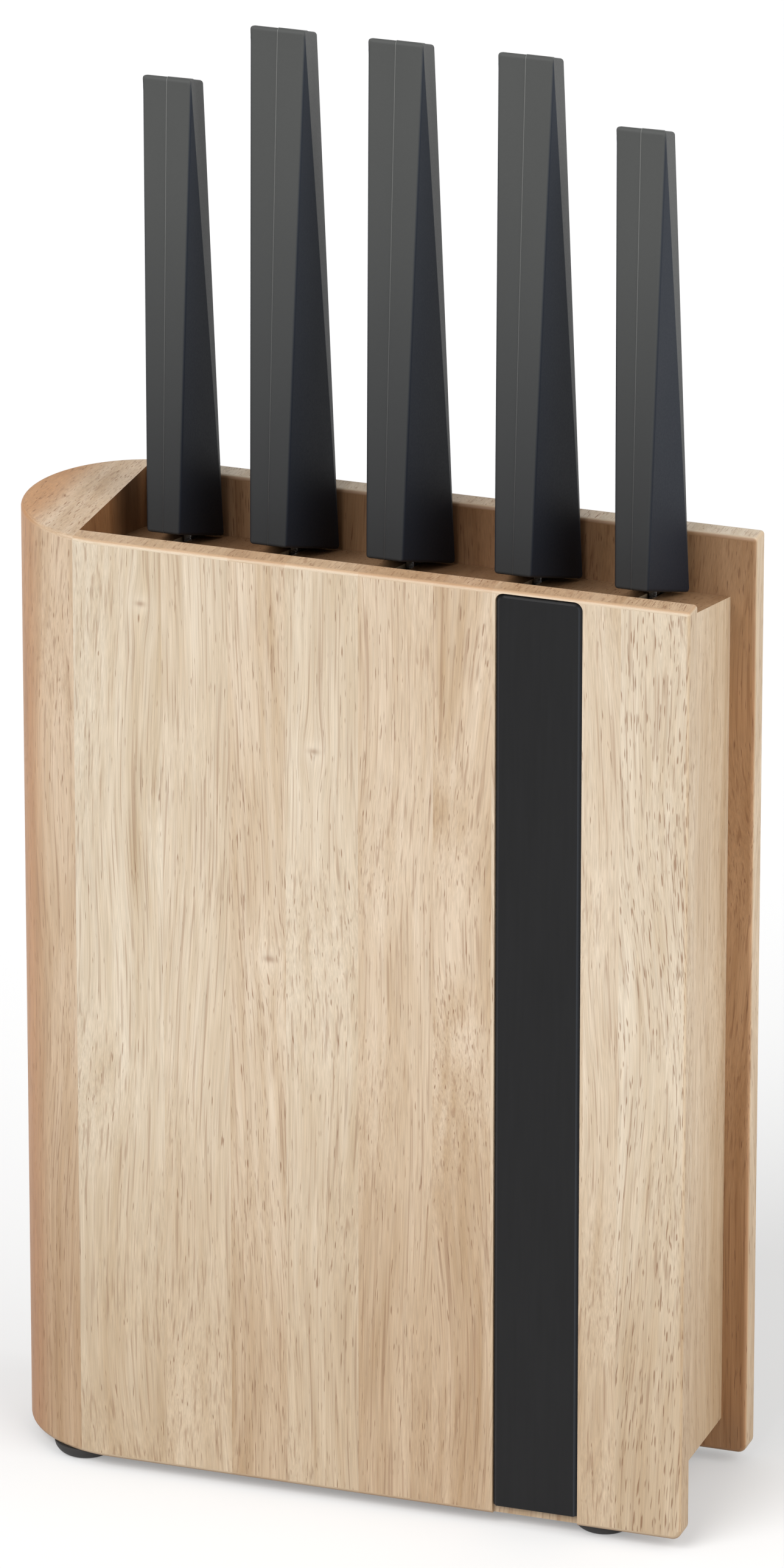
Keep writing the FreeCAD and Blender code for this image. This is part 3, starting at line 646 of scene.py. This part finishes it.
class KNIFEBLOCK_OT_fittings(Operator):
    """Finish the inlaid strip, the tape behind it and the four feet"""
    bl_idname = "knife_block.fittings"
    bl_label = "Strip and feet"

    def execute(self, context):
        fittings = context.scene.knife_block.fittings
        finish("inlay_strip", grained_material(
            "satin_black_strip", fittings.strip, fittings.strip, span_of("inlay_strip"),
            edge_light=fittings.strip_edge_highlight, Specular_IOR_Level=0.2, **SURFACES["strip"]))
        finish("strip_tape", grained_material(
            "adhesive_tape", fittings.tape, fittings.tape, span_of("strip_tape"),
            **SURFACES["tape"]))
        rubber = grained_material(
            "foot_rubber", fittings.rubber, fittings.rubber, span_of("foot_front_left"),
            **SURFACES["rubber"])
        for node in nodes_named("foot_"):
            finish(node, rubber)
        return {"FINISHED"}


class KNIFEBLOCK_OT_blades(Operator):
    """Finish the five blades"""
    bl_idname = "knife_block.blades"
    bl_label = "Blades"

    def execute(self, context):
        steel = context.scene.knife_block.knives.steel
        for name in KNIVES:
            node = f"{name}_knife_blade"
            finish(node, grained_material(f"{node}_steel", steel, steel, span_of(node),
                                          Metallic=1.0, **SURFACES["steel"]))
        return {"FINISHED"}


def seam_path(node):
    """Edges of the line in which a handle's middle plane meets its front, butt and back."""
    low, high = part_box(node)
    middle = (low.x + high.x) / 2
    solid = bmesh.new()
    solid.from_mesh(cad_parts[node].data)
    bmesh.ops.remove_doubles(solid, verts=solid.verts, dist=SEAM_WELD)
    tree = BVHTree.FromBMesh(solid)
    bmesh.ops.bisect_plane(solid, geom=solid.verts[:] + solid.edges[:] + solid.faces[:],
                           plane_co=(middle, 0, 0), plane_no=(1, 0, 0), clear_inner=True,
                           dist=SEAM_CUT)
    solid.normal_update()
    kept = []
    for edge in solid.edges:
        if not edge.is_boundary or any(abs(v.co.x - middle) > SEAM_NEAR for v in edge.verts):
            continue
        outward = edge.link_faces[0].normal
        spot = (edge.verts[0].co + edge.verts[1].co) / 2
        covered = tree.ray_cast(spot + outward * SEAM_LIFT, outward)[0]
        if outward.z > SEAM_DOWN and covered is None:
            kept.append([vertex.co.copy() for vertex in edge.verts])
    solid.free()
    if not kept:
        raise RuntimeError(f"{node} has no outline in its middle plane")
    path = bmesh.new()
    for ends in kept:
        path.edges.new([path.verts.new(point) for point in ends])
    bmesh.ops.remove_doubles(path, verts=path.verts, dist=SEAM_NEAR)
    mesh = bpy.data.meshes.new(f"{node}_path")
    path.to_mesh(mesh)
    path.free()
    return mesh


def seam_tree():
    """Geometry nodes that lay a thin round bead along the edges of a mesh."""
    if "mould_line" in bpy.data.node_groups:
        return bpy.data.node_groups["mould_line"]
    tree = bpy.data.node_groups.new("mould_line", "GeometryNodeTree")
    for label, kind in (("Geometry", "Geometry"), ("Radius", "Float"), ("Sides", "Int"),
                        ("Material", "Material")):
        tree.interface.new_socket(label, in_out="INPUT", socket_type=f"NodeSocket{kind}")
    tree.interface.new_socket("Geometry", in_out="OUTPUT", socket_type="NodeSocketGeometry")
    given = tree.nodes.new("NodeGroupInput").outputs
    curve = add_node(tree, "GeometryNodeMeshToCurve", {"Mesh": given["Geometry"]})
    ring = add_node(tree, "GeometryNodeCurvePrimitiveCircle",
                    {"Resolution": given["Sides"], "Radius": given["Radius"]})
    bead = add_node(tree, "GeometryNodeCurveToMesh",
                    {"Curve": curve.outputs[0], "Profile Curve": ring.outputs[0],
                     "Fill Caps": True})
    whole = add_node(tree, "GeometryNodeRealizeInstances", {"Geometry": bead.outputs[0]})
    painted = add_node(tree, "GeometryNodeSetMaterial",
                       {"Geometry": whole.outputs[0], "Material": given["Material"]})
    add_node(tree, "NodeGroupOutput", {"Geometry": painted.outputs[0]})
    return tree


def run_nodes(obj, tree, values):
    """Runs a geometry node tree on an object and keeps the result as its plain mesh."""
    modifier = obj.modifiers.new(tree.name, "NODES")
    modifier.node_group = tree
    for item in tree.interface.items_tree:
        if item.in_out == "INPUT" and item.name in values:
            modifier[item.identifier] = values[item.name]
    bpy.context.view_layer.update()
    shown = obj.evaluated_get(bpy.context.evaluated_depsgraph_get())
    mesh = bpy.data.meshes.new_from_object(shown)
    obj.modifiers.remove(modifier)
    obj.data = mesh
    mesh.shade_smooth()
    return obj


class KNIFEBLOCK_OT_handles(Operator):
    """Finish the five handles and lay the mould line round each"""
    bl_idname = "knife_block.handles"
    bl_label = "Handles"

    def execute(self, context):
        knives = context.scene.knife_block.knives
        for name in KNIVES:
            node = f"{name}_knife_handle"
            span = span_of(node)
            # Painted shade: the grip and its mould line darken towards the blade end, and the
            # flanks are darker.
            finish(node, grained_material(f"{node}_grip", knives.grip_low_shaded, knives.grip, span,
                                          flank_shade=knives.flank_shade,
                                          Specular_IOR_Level=0.11, **SURFACES["grip"]))
            line = grained_material(f"{name}_mould_line", knives.grip_low_shaded, knives.seam, span,
                                    **SURFACES["mould line"])
            seam = bpy.data.objects.new(f"{name}_knife_mould_line", seam_path(node))
            context.scene.collection.objects.link(seam)
            run_nodes(seam, seam_tree(), {"Radius": knives.seam_radius, "Sides": SEAM_SIDES,
                                          "Material": line})
            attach(seam, f"{name}_knife")
        return {"FINISHED"}


# ---- stage --------------------------------------------------------------------------------------
def add_floor(settings):
    disc = bmesh.new()
    bmesh.ops.create_circle(disc, cap_ends=True, segments=FLOOR_SIDES, radius=FLOOR_RADIUS)
    mesh = bpy.data.meshes.new("floor")
    disc.to_mesh(mesh)
    disc.free()
    floor = bpy.data.objects.new("floor", mesh)
    bpy.context.scene.collection.objects.link(floor)
    material, tree, shader = new_material("pale_floor", {
        "Roughness": 0.9, "Specular IOR Level": 0.1, "Emission Color": WHITE})
    patches = noise(tree, stretch(tree, own_place(tree), MOTTLE_SCALE))
    mottle = ramp(tree, patches, 0.0, 1.0, to_high=MOTTLE_SHARE)
    tree.links.new(mix_colours(tree, mottle, opaque(settings.floor), WHITE),
                   shader.inputs["Base Color"])
    lit = add_node(tree, "ShaderNodeLightPath").outputs["Is Diffuse Ray"]
    seen = calculate(tree, "SUBTRACT", 1.0, lit)
    tree.links.new(calculate(tree, "MULTIPLY", seen, settings.floor_glow),
                   shader.inputs["Emission Strength"])
    mesh.materials.append(material)


def add_sky(strength):
    world = bpy.data.worlds.new("studio")
    world.use_nodes = True
    light = world.node_tree.nodes["Background"].inputs
    light["Color"].default_value = WHITE
    light["Strength"].default_value = strength
    bpy.context.scene.world = world


def toward(azimuth, elevation):
    """Direction from the block to a camera or a light; both angles are in radians."""
    level = math.cos(elevation)
    return Vector((math.sin(azimuth) * level, -math.cos(azimuth) * level, math.sin(elevation)))


def add_sun(name, strength, azimuth, elevation, softness):
    """An even soft light from a direction round the block; all three angles are in degrees."""
    data = bpy.data.lights.new(name, "SUN")
    data.energy = strength
    data.angle = math.radians(softness)
    light = bpy.data.objects.new(name, data)
    source = toward(math.radians(azimuth), math.radians(elevation))
    light.location = source
    light.rotation_mode = "QUATERNION"
    light.rotation_quaternion = (-source).to_track_quat("-Z", "Y")
    bpy.context.scene.collection.objects.link(light)
    return light


def add_camera(settings):
    data = bpy.data.cameras.new("camera")
    data.lens = settings.lens
    data.clip_end = CAMERA_REACH
    camera = bpy.data.objects.new("camera", data)
    bpy.context.scene.collection.objects.link(camera)
    back = toward(settings.azimuth, settings.elevation)
    camera.location = Vector(settings.look_at) + back * settings.distance
    camera.rotation_mode = "QUATERNION"
    camera.rotation_quaternion = (-back).to_track_quat("-Z", "Y")
    bpy.context.scene.camera = camera


class KNIFEBLOCK_OT_stage(Operator):
    """Set up the floor, the soft light and the camera"""
    bl_idname = "knife_block.stage"
    bl_label = "Stage"

    def execute(self, context):
        settings = context.scene.knife_block.stage
        add_floor(settings)
        add_sky(settings.sky)
        add_sun("key", settings.key, **KEY_SUN)
        add_sun("fill", settings.fill, **FILL_SUN).visible_glossy = False
        add_camera(settings)
        context.scene.view_settings.view_transform = "Standard"
        return {"FINISHED"}


# ---- add-on -------------------------------------------------------------------------------------
STEPS = (KNIFEBLOCK_OT_panels, KNIFEBLOCK_OT_core, KNIFEBLOCK_OT_fittings, KNIFEBLOCK_OT_blades,
         KNIFEBLOCK_OT_handles, KNIFEBLOCK_OT_stage)


class KNIFEBLOCK_PT_sidebar(Panel):
    """Lists the steps that finish the knife block"""
    bl_idname = "KNIFEBLOCK_PT_sidebar"
    bl_label = "Knife Block"
    bl_space_type = "VIEW_3D"
    bl_region_type = "UI"
    bl_category = "Knife Block"

    def draw(self, context):
        for step in STEPS:
            self.layout.operator(step.bl_idname)
        settings = context.scene.knife_block
        for part in (settings.wood, settings.knives, settings.fittings, settings.stage):
            box = self.layout.box()
            for name in part.__annotations__:
                box.prop(part, name)


CLASSES = (WoodSettings, KnifeSettings, FittingSettings, StageSettings, BlockSettings, *STEPS,
           KNIFEBLOCK_PT_sidebar)


def register():
    for item in CLASSES:
        bpy.utils.register_class(item)
    bpy.types.Scene.knife_block = PointerProperty(type=BlockSettings)


def unregister():
    del bpy.types.Scene.knife_block
    for item in reversed(CLASSES):
        bpy.utils.unregister_class(item)


def main():
    register()
    bpy.ops.knife_block.panels()
    bpy.ops.knife_block.core()
    bpy.ops.knife_block.fittings()
    bpy.ops.knife_block.blades()
    bpy.ops.knife_block.handles()
    bpy.ops.knife_block.stage()


if __name__ == "__main__":
    main()
